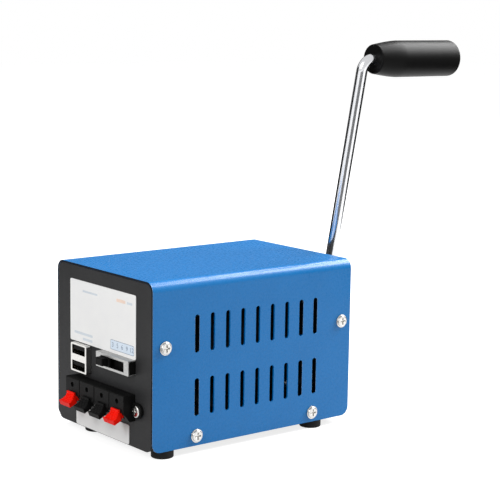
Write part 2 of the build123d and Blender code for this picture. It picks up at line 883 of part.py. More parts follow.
with BuildPart() as terminal_screws:
    ear_face_y = front_y - ear_thickness
    with Locations(*[Plane((x, ear_face_y, z), z_dir=(0, -1, 0)) for x, z in ear_screw_places]):
        add(small_screw(ear_screw_length))
terminal_screws.part.label = "terminal_screws"
export_step(terminal_screws.part, "parts/terminal_screws.step")


def lever_side(front_only):
    """Side view of a lever, in Y and Z; front_only gives just the thumb pad outside the housing."""
    face_y = front_y - terminal_proud
    nose = (front_y - lever_nose_proud, base_z + lever_nose_z)
    hollow = (front_y - lever_hollow_proud, base_z + lever_hollow_z)
    lip = (front_y - lever_lip_proud, base_z + lever_lip_z)
    lip_end = (
        lip[0] + lever_lip_thickness * sin(radians(lever_lip_lean)),
        lip[1] - lever_lip_thickness * cos(radians(lever_lip_lean)),
    )
    heel = (front_y - lever_heel_proud, base_z + lever_heel_z)
    nose_back = (face_y - lever_gap, nose[1])
    pivot = (front_y - lever_pivot_proud, base_z + lever_pivot_z)
    under_face = base_z + terminal_face_bottom_z - lever_gap
    slope = (heel[1] - lip_end[1]) / (heel[0] - lip_end[0])
    pad_foot = (nose_back[0], lip_end[1] + slope * (nose_back[0] - lip_end[0]))
    with BuildSketch() as side:
        with BuildLine():
            ThreePointArc(nose, hollow, lip)
            if front_only:
                Polyline(lip, lip_end, pad_foot, nose_back, nose)
            else:
                Polyline(
                    lip,
                    lip_end,
                    heel,
                    (pivot[0], pivot[1] - lever_hub_radius),
                    (pivot[0], under_face),
                    (nose_back[0], under_face),
                    nose_back,
                    nose,
                )
        make_face()
        if not front_only:
            with Locations(pivot):
                Circle(lever_hub_radius)
    return side.sketch


with BuildPart() as lever_pad:
    with BuildSketch(Plane.YZ):
        add(lever_side(front_only=True))
    extrude(amount=lever_lip_width / 2, both=True)
    with BuildSketch(facing_front(front_y)):
        shoulder = (lever_nose_z + lever_lip_z) / 2
        with BuildLine():
            Polyline(
                (-lever_lip_width / 2, base_z),
                (lever_lip_width / 2, base_z),
                (lever_lip_width / 2, base_z + lever_lip_z),
                (lever_width / 2, base_z + shoulder),
                (lever_width / 2, base_z + terminal_top_z),
                (-lever_width / 2, base_z + terminal_top_z),
                (-lever_width / 2, base_z + shoulder),
                (-lever_lip_width / 2, base_z + lever_lip_z),
                close=True,
            )
        make_face()
    extrude(amount=2 * lever_lip_proud, mode=Mode.INTERSECT)

with BuildPart() as lever_pattern:
    with BuildSketch(Plane.YZ):
        add(lever_side(front_only=False))
    extrude(amount=lever_width / 2, both=True)
    add(lever_pad.part)
    with BuildSketch(Plane.YZ):
        with Locations((front_y - lever_pivot_proud, base_z + lever_pivot_z)):
            Circle(lever_pin_radius)
    extrude(amount=pin_reach, both=True)
    # grooves across the hollow face, for the thumb
    with BuildSketch(Plane.YZ):
        for rib in range(lever_rib_count):
            share = (rib + 1) / (lever_rib_count + 1)
            sag = 4 * share * (1 - share)
            chord_y = front_y - lever_nose_proud - share * (lever_lip_proud - lever_nose_proud)
            chord_z = base_z + lever_nose_z - share * (lever_nose_z - lever_lip_z)
            sag_y = (lever_nose_proud + lever_lip_proud) / 2 - lever_hollow_proud
            sag_z = (lever_nose_z + lever_lip_z) / 2 - lever_hollow_z
            with Locations((chord_y + sag * sag_y, chord_z - sag * sag_z)):
                Circle(lever_rib_radius)
    extrude(amount=lever_lip_width, both=True, mode=Mode.SUBTRACT)

for number, x in enumerate(terminal_places, start=1):
    with BuildPart() as terminal_lever:
        with Locations((x, 0, 0)):
            add(lever_pattern.part)
    terminal_lever.part.label = f"terminal_lever_{number}"
    export_step(terminal_lever.part, f"parts/terminal_lever_{number}.step")

# ------------------------------------------------------------------ circuit board

board_middle_z = base_z + (board_bottom_z + board_top_z) / 2
board_height = board_top_z - board_bottom_z
standoff_places = [
    (x, z)
    for x in (-board_width / 2 + standoff_inset, board_width / 2 - standoff_inset)
    for z in (base_z + board_bottom_z + standoff_inset, base_z + board_top_z - standoff_inset)
]

with BuildPart() as circuit_board:
    with BuildSketch(facing_front(board_back_y)):
        with Locations((0, board_middle_z)):
            RectangleRounded(board_width, board_height, board_corner)
        with Locations(*standoff_places):
            Circle(small_screw_radius + screw_clearance, mode=Mode.SUBTRACT)
        with Locations(*selector_pin_places):
            Rectangle(selector_pin_width, selector_pin_thickness, mode=Mode.SUBTRACT)
    extrude(amount=board_thickness)
circuit_board.part.label = "circuit_board"
export_step(circuit_board.part, "parts/circuit_board.step")

with BuildPart() as board_standoffs:
    with BuildSketch(facing_front(board_front_y)):
        with Locations(*standoff_places):
            Circle(standoff_radius)
            Circle(small_screw_radius, mode=Mode.SUBTRACT)
    extrude(amount=board_to_panel)
board_standoffs.part.label = "board_standoffs"
export_step(board_standoffs.part, "parts/board_standoffs.step")

with BuildPart() as board_screws:
    with Locations(*[Plane((x, board_back_y, z), z_dir=(0, 1, 0)) for x, z in standoff_places]):
        add(small_screw(board_screw_length))
board_screws.part.label = "board_screws"
export_step(board_screws.part, "parts/board_screws.step")

with BuildPart() as capacitors:
    with BuildSketch(facing_front(board_back_y)):
        with Locations((capacitor_x, base_z + component_z)):
            with GridLocations(capacitor_pitch, 1, 2, 1):
                Circle(capacitor_radius)
    extrude(amount=-capacitor_length)
    fillet(capacitors.edges().group_by(Axis.Y)[-1], knob_edge)
capacitors.part.label = "capacitors"
export_step(capacitors.part, "parts/capacitors.step")

with BuildPart() as inductor:
    with BuildSketch(facing_front(board_back_y)):
        with Locations((inductor_x, base_z + component_z)):
            Circle(inductor_radius)
            Circle(inductor_hole_radius, mode=Mode.SUBTRACT)
    extrude(amount=-inductor_height)
inductor.part.label = "inductor"
export_step(inductor.part, "parts/inductor.step")

with BuildPart() as rectifier:
    with BuildSketch(facing_front(board_back_y)):
        with Locations((rectifier_x, base_z + component_z)):
            Rectangle(rectifier_size, rectifier_size)
    extrude(amount=-rectifier_thickness)
rectifier.part.label = "rectifier"
export_step(rectifier.part, "parts/rectifier.step")

with BuildPart() as regulator:
    with BuildSketch(facing_front(board_back_y)):
        with Locations((heat_sink_x, base_z + heat_sink_z)):
            Rectangle(regulator_width, regulator_height)
    extrude(amount=-regulator_thickness)
regulator.part.label = "regulator"
export_step(regulator.part, "parts/regulator.step")

with BuildPart() as heat_sink:
    sink_y = board_back_y + regulator_thickness
    with BuildSketch(facing_front(sink_y)):
        with Locations((heat_sink_x, base_z + heat_sink_z)):
            Rectangle(heat_sink_width, heat_sink_height)
    extrude(amount=-heat_sink_base)
    with BuildSketch(facing_front(sink_y + heat_sink_base)):
        with Locations((heat_sink_x, base_z + heat_sink_z)):
            fin_pitch = (heat_sink_width - heat_sink_fin) / (heat_sink_fin_count - 1)
            with GridLocations(fin_pitch, 1, heat_sink_fin_count, 1):
                Rectangle(heat_sink_fin, heat_sink_height)
    extrude(amount=-(heat_sink_depth - heat_sink_base))
heat_sink.part.label = "heat_sink"
export_step(heat_sink.part, "parts/heat_sink.step")

# ------------------------------------------------------------------ gearbox frame

plate_centre = (gear_plate_x, base_z + gear_plate_z)
pillar_spread = gear_plate_side - 2 * pillar_inset
pillar_places = [
    (plate_centre[0] + side * pillar_spread / 2, plate_centre[1] + rise * pillar_spread / 2)
    for side in (-1, 1)
    for rise in (-1, 1)
]
motor_screw_places = [(side * motor_screw_spread / 2, crank_z) for side in (-1, 1)]

with BuildPart() as gear_bracket:
    with BuildSketch(facing_front(gear_inner_front_y)):
        with Locations(plate_centre):
            RectangleRounded(gear_plate_side, gear_plate_side, pillar_inset)
        with Locations((gear_plate_x, floor_z)):
            Rectangle(bracket_foot_width, plate_centre[1] - floor_z, align=(Align.CENTER, Align.MIN))
        with Locations(crank_place):
            Circle(boss_radius, mode=Mode.SUBTRACT)
        with Locations(layshaft_place):
            Circle(layshaft_radius + bush_wall, mode=Mode.SUBTRACT)
        with Locations(*pillar_places, *motor_screw_places):
            Circle(small_screw_radius + screw_clearance, mode=Mode.SUBTRACT)
    extrude(amount=gear_plate)
    with BuildSketch(Plane.XY.offset(floor_z)):
        with Locations((gear_plate_x, gear_inner_front_y)):
            Rectangle(bracket_foot_width, bracket_foot_length, align=(Align.CENTER, Align.MAX))
        with Locations(*bracket_screw_places):
            Circle(small_screw_radius, mode=Mode.SUBTRACT)
    extrude(amount=gear_plate)
gear_bracket.part.label = "gear_bracket"
export_step(gear_bracket.part, "parts/gear_bracket.step")

with BuildPart() as gear_rear_plate:
    with BuildSketch(facing_front(gear_rear_y)):
        with Locations(plate_centre):
            RectangleRounded(gear_plate_side, gear_plate_side, pillar_inset)
        with Locations(crank_place):
            Circle(crank_shaft_radius + bush_wall, mode=Mode.SUBTRACT)
        with Locations(layshaft_place):
            Circle(layshaft_radius + bush_wall, mode=Mode.SUBTRACT)
        with Locations(*pillar_places):
            Circle(small_screw_radius + screw_clearance, mode=Mode.SUBTRACT)
    extrude(amount=gear_plate)
gear_rear_plate.part.label = "gear_rear_plate"
export_step(gear_rear_plate.part, "parts/gear_rear_plate.step")

with BuildPart() as gear_pillars:
    with BuildSketch(facing_front(gear_inner_rear_y)):
        with Locations(*pillar_places):
            Circle(pillar_radius)
            Circle(small_screw_radius, mode=Mode.SUBTRACT)
    extrude(amount=gear_space)
gear_pillars.part.label = "gear_pillars"
export_step(gear_pillars.part, "parts/gear_pillars.step")

with BuildPart() as gearbox_screws:
    with Locations(
        *[Plane((x, gear_front_y, z), z_dir=(0, -1, 0)) for x, z in pillar_places],
        *[Plane((x, gear_rear_y, z), z_dir=(0, 1, 0)) for x, z in pillar_places],
        *[Plane((x, gear_inner_front_y, z), z_dir=(0, 1, 0)) for x, z in motor_screw_places],
    ):
        add(small_screw(gear_screw_length))
gearbox_screws.part.label = "gearbox_screws"
export_step(gearbox_screws.part, "parts/gearbox_screws.step")

with BuildPart() as bracket_screws:
    with Locations(*[Plane((x, y, base_z), z_dir=(0, 0, -1)) for x, y in bracket_screw_places]):
        add(small_screw(bracket_screw_length))
bracket_screws.part.label = "bracket_screws"
export_step(bracket_screws.part, "parts/bracket_screws.step")

with BuildPart() as crank_bush:
    with Locations(Plane((0, gear_inner_rear_y, crank_z), z_dir=(0, -1, 0))):
        add(
            flanged_bush(
                crank_shaft_radius + running_gap,
                crank_shaft_radius + bush_wall,
                gear_plate,
                bush_flange,
            )
        )
crank_bush.part.label = "crank_bush"
export_step(crank_bush.part, "parts/crank_bush.step")

with BuildPart() as panel_bush:
    with Locations(Plane((0, rear_y, crank_z), z_dir=(0, 1, 0))):
        add(
            flanged_bush(
                crank_shaft_radius + running_gap,
                crank_shaft_radius + bush_wall,
                2 * chassis_sheet,
                bush_flange,
            )
        )
panel_bush.part.label = "panel_bush"
export_step(panel_bush.part, "parts/panel_bush.step")

layshaft_bush = flanged_bush(
    layshaft_radius + running_gap, layshaft_radius + bush_wall, gear_plate, bush_flange
)
lay_x, lay_z = layshaft_place
with BuildPart() as layshaft_bushes:
    with Locations(
        Plane((lay_x, gear_inner_rear_y, lay_z), z_dir=(0, -1, 0)),
        Plane((lay_x, gear_inner_front_y, lay_z), z_dir=(0, 1, 0)),
    ):
        add(layshaft_bush)
layshaft_bushes.part.label = "layshaft_bushes"
export_step(layshaft_bushes.part, "parts/layshaft_bushes.step")

# ------------------------------------------------------------------ gears

# A wheel points a tooth at its pinion, and the pinion points a gap back at it.
half_pinion_pitch = 180 / pinion_teeth
hub_end_y = bush_face_y - end_float

with BuildPart() as crank_wheel:
    add(
        gear_wheel(
            crank_place,
            crank_wheel_y,
            layshaft_angle,
            crank_shaft_radius,
            crank_wheel_y - wheel_thickness,
            hub_end_y,
        )
    )
crank_wheel.part.label = "crank_wheel"
export_step(crank_wheel.part, "parts/crank_wheel.step")

with BuildPart() as lay_wheel:
    add(
        gear_wheel(
            layshaft_place,
            lay_wheel_y,
            layshaft_angle + 180,
            layshaft_radius,
            gear_inner_front_y + bush_flange + end_float,
            lay_wheel_y,
        )
    )
lay_wheel.part.label = "lay_wheel"
export_step(lay_wheel.part, "parts/lay_wheel.step")

with BuildPart() as lay_pinion:
    pinion_length = wheel_thickness + 2 * pinion_overlap
    with BuildSketch(facing_front(crank_wheel_y + pinion_overlap)):
        with Locations(layshaft_place):
            add(gear_outline(pinion_teeth, layshaft_angle + 180 + half_pinion_pitch))
    extrude(amount=pinion_length)
    with BuildSketch(facing_front(gear_rear_y)):
        with Locations(layshaft_place):
            Circle(layshaft_radius)
    extrude(amount=gear_rear_y - gear_front_y)
lay_pinion.part.label = "lay_pinion"
export_step(lay_pinion.part, "parts/lay_pinion.step")

with BuildPart() as motor_pinion:
    with BuildSketch(facing_front(lay_wheel_y + pinion_overlap)):
        with Locations(crank_place):
            add(gear_outline(pinion_teeth, layshaft_angle + half_pinion_pitch))
            Circle(motor_shaft_radius, mode=Mode.SUBTRACT)
    extrude(amount=pinion_length)
motor_pinion.part.label = "motor_pinion"
export_step(motor_pinion.part, "parts/motor_pinion.step")

# ------------------------------------------------------------------ crank

shaft_front_y = crank_wheel_y - wheel_thickness
shaft_rear_y = rod_y - rod_radius - rod_to_shaft
clip_ring_y = gear_rear_y + end_float
groove_radius = crank_shaft_radius - clip_groove_depth
hub_front_y = rod_y - hub_length / 2
hub_rear_y = rod_y + hub_length / 2

with BuildPart() as crank_shaft:
    with BuildSketch(facing_front(shaft_rear_y)):
        with Locations(crank_place):
            Circle(crank_shaft_radius)
    extrude(amount=shaft_rear_y - shaft_front_y)
    with BuildSketch(facing_front(clip_ring_y + clip_ring_width)):
        with Locations(crank_place):
            Circle(crank_shaft_radius)
            Circle(groove_radius, mode=Mode.SUBTRACT)
    extrude(amount=clip_ring_width, mode=Mode.SUBTRACT)
crank_shaft.part.label = "crank_shaft"
export_step(crank_shaft.part, "parts/crank_shaft.step")

with BuildPart() as shaft_clip:
    with BuildSketch(facing_front(clip_ring_y + clip_ring_width)):
        with Locations(crank_place):
            Circle(clip_ring_radius)
            Circle(groove_radius, mode=Mode.SUBTRACT)
            Rectangle(groove_radius, clip_ring_radius, align=(Align.CENTER, Align.MAX), mode=Mode.SUBTRACT)
    extrude(amount=clip_ring_width)
shaft_clip.part.label = "shaft_clip"
export_step(shaft_clip.part, "parts/shaft_clip.step")

with BuildPart() as crank_hub:
    with BuildSketch(facing_front(hub_rear_y)):
        with Locations(crank_place):
            Circle(hub_radius)
    extrude(amount=hub_length)
    chamfer(crank_hub.edges().filter_by(GeomType.CIRCLE), hub_edge)
    with BuildSketch(facing_front(shaft_rear_y)):
        with Locations(crank_place):
            Circle(crank_shaft_radius)
    extrude(amount=shaft_rear_y - hub_front_y, mode=Mode.SUBTRACT)
    with BuildSketch(Plane(hub_centre - along_rod * rod_seat_depth, z_dir=along_rod)):
        Circle(rod_radius)
    extrude(amount=rod_seat_depth + hub_radius, mode=Mode.SUBTRACT)
    with BuildSketch(facing_front(hub_rear_y)):
        with Locations(crank_place):
            Circle(grub_radius)
    extrude(amount=hub_rear_y - rod_y, mode=Mode.SUBTRACT)
    with BuildSketch(Plane((0, (hub_front_y + shaft_rear_y) / 2, crank_z), z_dir=across_rod)):
        Circle(grub_radius)
    extrude(amount=hub_radius, mode=Mode.SUBTRACT)
crank_hub.part.label = "crank_hub"
export_step(crank_hub.part, "parts/crank_hub.step")


def grub_screw(length):
    """Headless socket screw whose inner end stands on the XY plane."""
    with BuildPart() as grub:
        with BuildSketch():
            Circle(grub_radius)
        extrude(amount=length)
        with BuildSketch(Plane.XY.offset(length)):
            RegularPolygon(grub_socket_radius, 6)
        extrude(amount=-grub_socket_depth, mode=Mode.SUBTRACT)
    return grub.part


with BuildPart() as hub_screws:
    rod_surface = Plane((0, rod_y + rod_radius, crank_z), z_dir=(0, 1, 0))
    with Locations(rod_surface):
        add(grub_screw(hub_rear_y - grub_inset - rod_y - rod_radius))
    shaft_middle = Vector(0, (hub_front_y + shaft_rear_y) / 2, crank_z)
    with Locations(Plane(shaft_middle + across_rod * crank_shaft_radius, z_dir=across_rod)):
        add(grub_screw(hub_radius - grub_inset - crank_shaft_radius))
hub_screws.part.label = "hub_screws"
export_step(hub_screws.part, "parts/hub_screws.step")

with BuildPart() as crank_rod:
    with BuildLine(Plane(hub_centre, x_dir=(0, 1, 0), z_dir=across_rod)) as rod_path:
        FilletPolyline(
            (0, -rod_seat_depth), (0, crank_radius), (rod_end_y - rod_y, crank_radius), radius=rod_bend
        )
    with BuildSketch(Plane(rod_path.line @ 0, z_dir=rod_path.line % 0)):
        Circle(rod_radius)
    sweep()
    with BuildSketch(Plane((grip_centre.X, rod_end_y, grip_centre.Z), z_dir=(0, 1, 0))):
        Circle(grip_screw_radius)
    extrude(amount=-grip_screw_length, mode=Mode.SUBTRACT)
crank_rod.part.label = "crank_rod"
export_step(crank_rod.part, "parts/crank_rod.step")

with BuildPart() as grip_screw:
    with Locations(Plane((grip_centre.X, rod_end_y, grip_centre.Z), z_dir=(0, 1, 0))):
        add(
            pan_screw(
                grip_screw_radius, grip_screw_length, grip_screw_head_radius, grip_screw_head_height
            )
        )
grip_screw.part.label = "grip_screw"
export_step(grip_screw.part, "parts/grip_screw.step")

grip_axis = Axis((grip_centre.X, 0, grip_centre.Z), (0, 1, 0))
grip_room_y = grip_length - grip_end_room
with BuildPart() as grip:
    with BuildSketch(Plane((grip_centre.X, grip_start_y, grip_centre.Z), z_dir=(0, 0, 1))):
        with BuildLine():
            bore = rod_radius + grip_running_gap
            corner_start = (grip_radius, grip_length - grip_end_corner)
            corner_end = (grip_radius - grip_end_corner, grip_length)
            neck = (grip_neck_radius, grip_edge)
            Line((bore, 0), (grip_neck_radius - grip_edge, 0))
            RadiusArc((grip_neck_radius - grip_edge, 0), neck, -grip_edge)
            neck_end = (grip_radius, grip_neck_length)
            Bezier(neck, (grip_radius, grip_neck_length * grip_neck_flare), neck_end)
            Line(neck_end, corner_start)
            TangentArc(corner_start, corner_end, tangent=(0, 1))
            Polyline(
                corner_end,
                (grip_cap_radius, grip_length),
                (grip_cap_radius, grip_room_y),
                (bore, grip_room_y),
                (bore, 0),
            )
        make_face()
    revolve(axis=grip_axis)
grip.part.label = "grip"
export_step(grip.part, "parts/grip.step")

with BuildPart() as grip_cap:
    with BuildSketch(facing_front(grip_start_y + grip_length)):
        with Locations((grip_centre.X, grip_centre.Z)):
            Circle(grip_cap_radius)
    extrude(amount=grip_cap_thickness)
    fillet(grip_cap.edges().group_by(Axis.Y)[-1], knob_edge)
grip_cap.part.label = "grip_cap"
export_step(grip_cap.part, "parts/grip_cap.step")

# ------------------------------------------------------------------ generator

with BuildPart() as motor_can:
    with BuildSketch(facing_front(gear_front_y)):
        with Locations(crank_place):
            Circle(can_radius)
    extrude(amount=can_length)
    with BuildSketch(facing_front(gear_front_y - can_wall)):
        with Locations(crank_place):
            Circle(can_radius - can_wall)
    extrude(amount=can_length, mode=Mode.SUBTRACT)
    with BuildSketch(facing_front(gear_front_y + boss_length)):
        with Locations(crank_place):
            Circle(boss_radius)
    extrude(amount=boss_length + can_wall)
    with BuildSketch(facing_front(gear_front_y + boss_length)):
        with Locations(crank_place):
            Circle(boss_hole_radius)
    extrude(amount=boss_length + can_wall, mode=Mode.SUBTRACT)
    with BuildSketch(facing_front(gear_front_y + boss_length - boss_lip)):
        with Locations(crank_place):
            Circle(bearing_radius)
    extrude(amount=boss_length + can_wall, mode=Mode.SUBTRACT)
    with BuildSketch(facing_front(gear_front_y)):
        with Locations(*motor_screw_places):
            Circle(small_screw_radius)
    extrude(amount=can_wall, mode=Mode.SUBTRACT)
motor_can.part.label = "motor_can"
export_step(motor_can.part, "parts/motor_can.step")

brush_inner_x = commutator_radius + brush_gap
holder_inner_x = brush_inner_x + brush_gap + holder_wall
holder_length = brush_length + holder_wall
motor_tag_places = [(side * (holder_inner_x + holder_length / 2), crank_z) for side in (-1, 1)]

with BuildPart() as motor_end_cap:
    with BuildSketch(facing_front(can_end_y)):
        with Locations(crank_place):
            Circle(can_radius)
            Circle(bearing_radius, mode=Mode.SUBTRACT)
        with Locations(*motor_tag_places):
            Rectangle(motor_tag_width, motor_tag_thickness, mode=Mode.SUBTRACT)
    extrude(amount=end_cap_thickness)
motor_end_cap.part.label = "motor_end_cap"
export_step(motor_end_cap.part, "parts/motor_end_cap.step")

with BuildPart() as motor_bearings:
    boss_bearing_y = gear_front_y + boss_length - boss_lip
    for bearing_y in (boss_bearing_y, end_cap_y + bearing_length):
        with BuildSketch(facing_front(bearing_y)):
            with Locations(crank_place):
                Circle(bearing_radius)
                Circle(motor_shaft_radius + running_gap, mode=Mode.SUBTRACT)
        extrude(amount=bearing_length)
motor_bearings.part.label = "motor_bearings"
export_step(motor_bearings.part, "parts/motor_bearings.step")

with BuildPart() as motor_magnets:
    with BuildSketch(facing_front(rotor_rear_y + magnet_overhang)):
        with Locations(crank_place):
            Circle(can_radius - can_wall)
            Circle(magnet_radius, mode=Mode.SUBTRACT)
            for rise in (-1, 1):
                gap_angle = (180 - magnet_angle) / 2
                wedge = [(0, 0), polar(2 * can_radius, gap_angle), polar(2 * can_radius, -gap_angle)]
                Polygon(*[(rise * x, y) for x, y in wedge], align=None, mode=Mode.SUBTRACT)
    extrude(amount=rotor_length + 2 * magnet_overhang)
motor_magnets.part.label = "motor_magnets"
export_step(motor_magnets.part, "parts/motor_magnets.step")

slot_middle = (pole_slot_start + pole_slot_end) / 2
with BuildPart() as rotor_core:
    with BuildSketch(facing_front(rotor_rear_y)):
        with Locations(crank_place):
            Circle(rotor_radius)
            Circle(motor_shaft_radius, mode=Mode.SUBTRACT)
            with PolarLocations(slot_middle, pole_count):
                Rectangle(pole_slot_end - pole_slot_start, pole_slot_width, mode=Mode.SUBTRACT)
            with PolarLocations(rotor_radius, pole_count):
                Rectangle(2 * (rotor_radius - slot_middle), slot_mouth, mode=Mode.SUBTRACT)
    extrude(amount=rotor_length)
rotor_core.part.label = "rotor_core"
export_step(rotor_core.part, "parts/rotor_core.step")

with BuildPart() as rotor_windings:
    with BuildSketch(facing_front(rotor_rear_y)):
        with Locations(crank_place):
            with PolarLocations(slot_middle, pole_count):
                Rectangle(
                    pole_slot_end - pole_slot_start - 2 * winding_gap,
                    pole_slot_width - 2 * winding_gap,
                )
    extrude(amount=rotor_length)
    for turn_y in (rotor_rear_y + end_turn_length, rotor_front_y):
        with BuildSketch(facing_front(turn_y)):
            with Locations(crank_place):
                Circle(pole_slot_end - winding_gap)
                Circle(pole_slot_start - winding_gap, mode=Mode.SUBTRACT)
        extrude(amount=end_turn_length)
rotor_windings.part.label = "rotor_windings"
export_step(rotor_windings.part, "parts/rotor_windings.step")

with BuildPart() as commutator:
    with BuildSketch(facing_front(commutator_y)):
        with Locations(crank_place):
            Circle(commutator_radius)
            Circle(motor_shaft_radius, mode=Mode.SUBTRACT)
    extrude(amount=commutator_length)
commutator.part.label = "commutator"
export_step(commutator.part, "parts/commutator.step")

with BuildPart() as motor_shaft:
    motor_shaft_end = lay_wheel_y + pinion_overlap
    with BuildSketch(facing_front(motor_shaft_end)):
        with Locations(crank_place):
            Circle(motor_shaft_radius)
    extrude(amount=motor_shaft_end - end_cap_y)
motor_shaft.part.label = "motor_shaft"
export_step(motor_shaft.part, "parts/motor_shaft.step")

with BuildPart() as motor_brushes:
    for side in (-1, 1):
        with BuildSketch(facing_right(side * brush_inner_x)):
            with Locations((brush_y, crank_z)):
                Rectangle(brush_height, brush_width)
        extrude(amount=side * brush_length)
motor_brushes.part.label = "motor_brushes"
export_step(motor_brushes.part, "parts/motor_brushes.step")

with BuildPart() as brush_holders:
    holder_height = brush_height + 2 * (holder_wall + holder_fit)
    for side in (-1, 1):
        with BuildSketch(facing_right(side * holder_inner_x)):
            with Locations((brush_y, crank_z)):
                Rectangle(holder_height, brush_width + 2 * (holder_wall + holder_fit))
        extrude(amount=side * holder_length)
        with BuildSketch(facing_right(side * holder_inner_x)):
            with Locations((brush_y, crank_z)):
                Rectangle(brush_height + 2 * holder_fit, brush_width + 2 * holder_fit)
        extrude(amount=side * (holder_length - holder_wall), mode=Mode.SUBTRACT)
    with BuildSketch(facing_front(brush_y - holder_height / 2)):
        with Locations(*motor_tag_places):
            Rectangle(motor_tag_width, motor_tag_thickness)
    extrude(amount=brush_y - holder_height / 2 - end_cap_y + motor_tag_length)
brush_holders.part.label = "brush_holders"
export_step(brush_holders.part, "parts/brush_holders.step")
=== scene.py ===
import json
import math

import bpy
from mathutils import Matrix, Vector


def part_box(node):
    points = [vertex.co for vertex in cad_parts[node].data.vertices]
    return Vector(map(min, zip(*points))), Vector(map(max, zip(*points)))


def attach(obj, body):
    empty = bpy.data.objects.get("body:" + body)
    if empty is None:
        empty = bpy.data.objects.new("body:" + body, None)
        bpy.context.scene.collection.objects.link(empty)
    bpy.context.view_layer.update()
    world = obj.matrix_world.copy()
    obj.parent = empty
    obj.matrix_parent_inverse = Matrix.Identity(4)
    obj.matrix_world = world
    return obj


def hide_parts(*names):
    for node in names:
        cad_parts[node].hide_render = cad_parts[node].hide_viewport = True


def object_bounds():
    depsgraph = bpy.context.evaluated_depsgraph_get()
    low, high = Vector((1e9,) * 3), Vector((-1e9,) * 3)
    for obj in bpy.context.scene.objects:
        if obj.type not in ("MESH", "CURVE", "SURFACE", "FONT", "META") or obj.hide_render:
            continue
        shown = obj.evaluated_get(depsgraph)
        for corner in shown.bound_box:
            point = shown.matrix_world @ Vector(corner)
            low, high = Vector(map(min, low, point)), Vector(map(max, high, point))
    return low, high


# A table-top hand crank generator. Lengths are in metres, and MM turns millimetres to metres.

MM = 0.001

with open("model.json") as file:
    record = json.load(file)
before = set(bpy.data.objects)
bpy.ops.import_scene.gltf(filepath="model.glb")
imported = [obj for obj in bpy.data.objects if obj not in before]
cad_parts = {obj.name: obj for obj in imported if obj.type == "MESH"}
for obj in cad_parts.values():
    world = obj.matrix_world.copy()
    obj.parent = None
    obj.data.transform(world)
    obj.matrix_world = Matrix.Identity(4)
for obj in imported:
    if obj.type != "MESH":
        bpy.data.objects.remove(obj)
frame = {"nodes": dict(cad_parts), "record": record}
cad_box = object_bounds()

# ------------------------------------------------------------------ camera

CAMERA_PLACE = Vector((0.62403, -0.47037, 0.21909))
CAMERA_AZIMUTH = math.radians(51.30)
CAMERA_ELEVATION = math.radians(9.17)
CAMERA_ROLL = math.radians(0.86)
# Sensor width and focal length in millimetres, as Blender takes them
SENSOR_WIDTH = 36.0
FOCAL_LENGTH = 109.34


def camera_axes(azimuth, elevation, roll):
    """The camera's right, up and backward directions."""
    back = Vector(
        (
            math.sin(azimuth) * math.cos(elevation),
            -math.cos(azimuth) * math.cos(elevation),
            math.sin(elevation),
        )
    )
    right = Vector((math.cos(azimuth), math.sin(azimuth), 0.0))
    up = back.cross(right)
    rolled_right = right * math.cos(roll) + up * math.sin(roll)
    rolled_up = up * math.cos(roll) - right * math.sin(roll)
    return rolled_right, rolled_up, back


def place_camera():
    lens = bpy.data.cameras.new("camera")
    lens.sensor_width = SENSOR_WIDTH
    lens.lens = FOCAL_LENGTH
    camera = bpy.data.objects.new("camera", lens)
    axes = Matrix(camera_axes(CAMERA_AZIMUTH, CAMERA_ELEVATION, CAMERA_ROLL)).transposed()
    camera.matrix_world = Matrix.Translation(CAMERA_PLACE) @ axes.to_4x4()
    bpy.context.scene.collection.objects.link(camera)
    bpy.context.scene.camera = camera


# ------------------------------------------------------------------ material helpers


def colour(code):
    """Linear colour of an sRGB hex code such as 2F78C6."""
    levels = [int(code[place : place + 2], 16) / 255 for place in (0, 2, 4)]
    return [
        level / 12.92 if level <= 0.04045 else ((level + 0.055) / 1.055) ** 2.4 for level in levels
    ] + [1.0]


def add_node(material, kind, settings=(), values=(), links=()):
    """Adds a shader node with its settings, its input values and its links from other sockets."""
    shader_node = material.node_tree.nodes.new(kind)
    for name, value in settings:
        setattr(shader_node, name, value)
    for socket, value in values:
        shader_node.inputs[socket].default_value = value
    for socket, source in links:
        material.node_tree.links.new(source, shader_node.inputs[socket])
    return shader_node


def new_material(name, **shader_values):
    """A material with its main shader's values set, and that shader."""
    material = bpy.data.materials.new(name)
    material.use_nodes = True
    shader = material.node_tree.nodes["Principled BSDF"]
    for socket, value in shader_values.items():
        shader.inputs[socket.replace("_", " ")].default_value = value
    return material, shader


def object_place(material, turn=(0.0, 0.0, 0.0), stretch=(1.0, 1.0, 1.0)):
    """The point on the piece in metres, turned and then stretched for a pattern with a grain."""
    coordinates = add_node(material, "ShaderNodeTexCoord")
    turned = add_node(
        material,
        "ShaderNodeMapping",
        values=(("Rotation", turn),),
        links=(("Vector", coordinates.outputs["Object"]),),
    )
    return add_node(
        material,
        "ShaderNodeMapping",
        values=(("Scale", stretch),),
        links=(("Vector", turned.outputs["Vector"]),),
    ).outputs["Vector"]


def grains(material, place, size_mm, detail=2.0):
    """Noise whose features are about size_mm across."""
    return add_node(
        material,
        "ShaderNodeTexNoise",
        values=(("Scale", 1.0 / (size_mm * MM)), ("Detail", detail), ("Roughness", 0.55)),
        links=(("Vector", place),),
    ).outputs["Fac"]


def between(material, factor, low, high, low_value, high_value):
    """Runs from low_value to high_value as the factor goes from low to high."""
    return add_node(
        material,
        "ShaderNodeMapRange",
        values=(
            ("From Min", low),
            ("From Max", high),
            ("To Min", low_value),
            ("To Max", high_value),
        ),
        links=(("Value", factor),),
    ).outputs["Result"]


